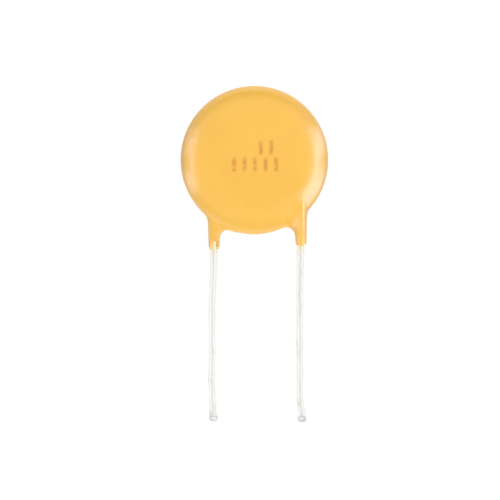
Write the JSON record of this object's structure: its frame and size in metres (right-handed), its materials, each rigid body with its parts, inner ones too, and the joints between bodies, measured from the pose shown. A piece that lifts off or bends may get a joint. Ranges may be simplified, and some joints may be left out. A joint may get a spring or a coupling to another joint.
{
  "type": "resettable fuse",
  "caption": "Round dipped disc with parallel wire leads, which trips at high current and resets itself as it cools.",
  "frame": {"origin": "under the middle of the part's outline, on the surface that the disc's rear face lies on", "axes": "+Z along the disc's axis, out of its front face; the leads point to -Y; +X to the right, towards the front lead"},
  "size_m": [0.0092, 0.021, 0.0026],
  "materials": {
    "epoxy_coat": "glossy dipped epoxy, warm yellow",
    "carbon_polymer": "matt black carbon-filled polymer",
    "nickel_foil": "matt nickel-plated foil",
    "tinned_wire": "bright hot-dipped tin with faint drawing marks",
    "solder": "satin solder"
  },
  "bodies": {
    "root": {"coating": "epoxy_coat", "polymer_core": "carbon_polymer", "front_electrode": "nickel_foil", "rear_electrode": "nickel_foil", "front_lead": "tinned_wire", "rear_lead": "tinned_wire", "front_solder": "solder", "rear_solder": "solder"}
  },
  "joints": []
}
